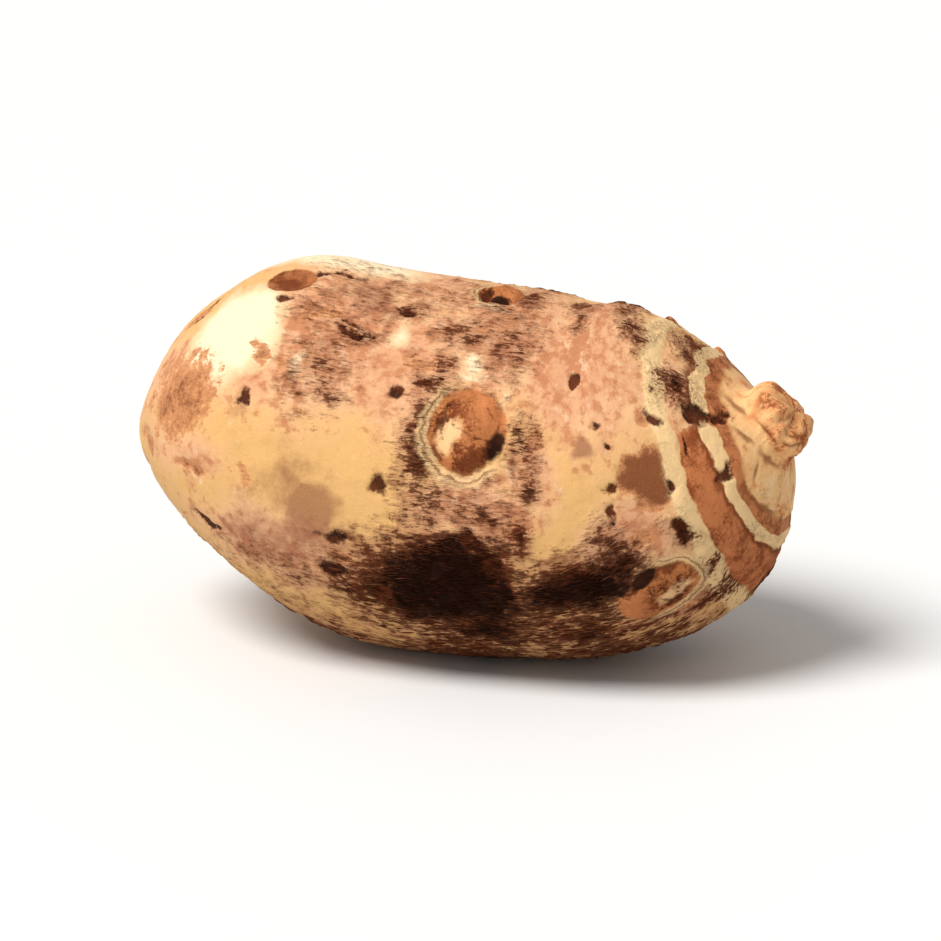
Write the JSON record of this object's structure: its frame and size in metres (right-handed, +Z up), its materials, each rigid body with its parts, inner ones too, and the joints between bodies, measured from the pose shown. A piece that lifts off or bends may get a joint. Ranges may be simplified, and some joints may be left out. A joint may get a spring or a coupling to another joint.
{
  "type": "taro corm",
  "caption": "Whole taro corm lying on its side: blunt base end, barrel body with side buds, ringed shoulder and a short upturned stub of the shoot.",
  "frame": {"origin": "centre of the corm's bounding box in plan, on the surface that it rests on", "axes": "+X along the corm from the blunt end to the shoot end, +Z up, -Y the side with the largest side bud"},
  "size_m": [0.1004, 0.054, 0.0552],
  "materials": {
    "corm_skin": "matt mottled skin: cream flesh tones, pink-tan blotches and dark fibrous brown bark in bands"
  },
  "bodies": {
    "root": {"corm": "corm_skin"}
  },
  "joints": []
}
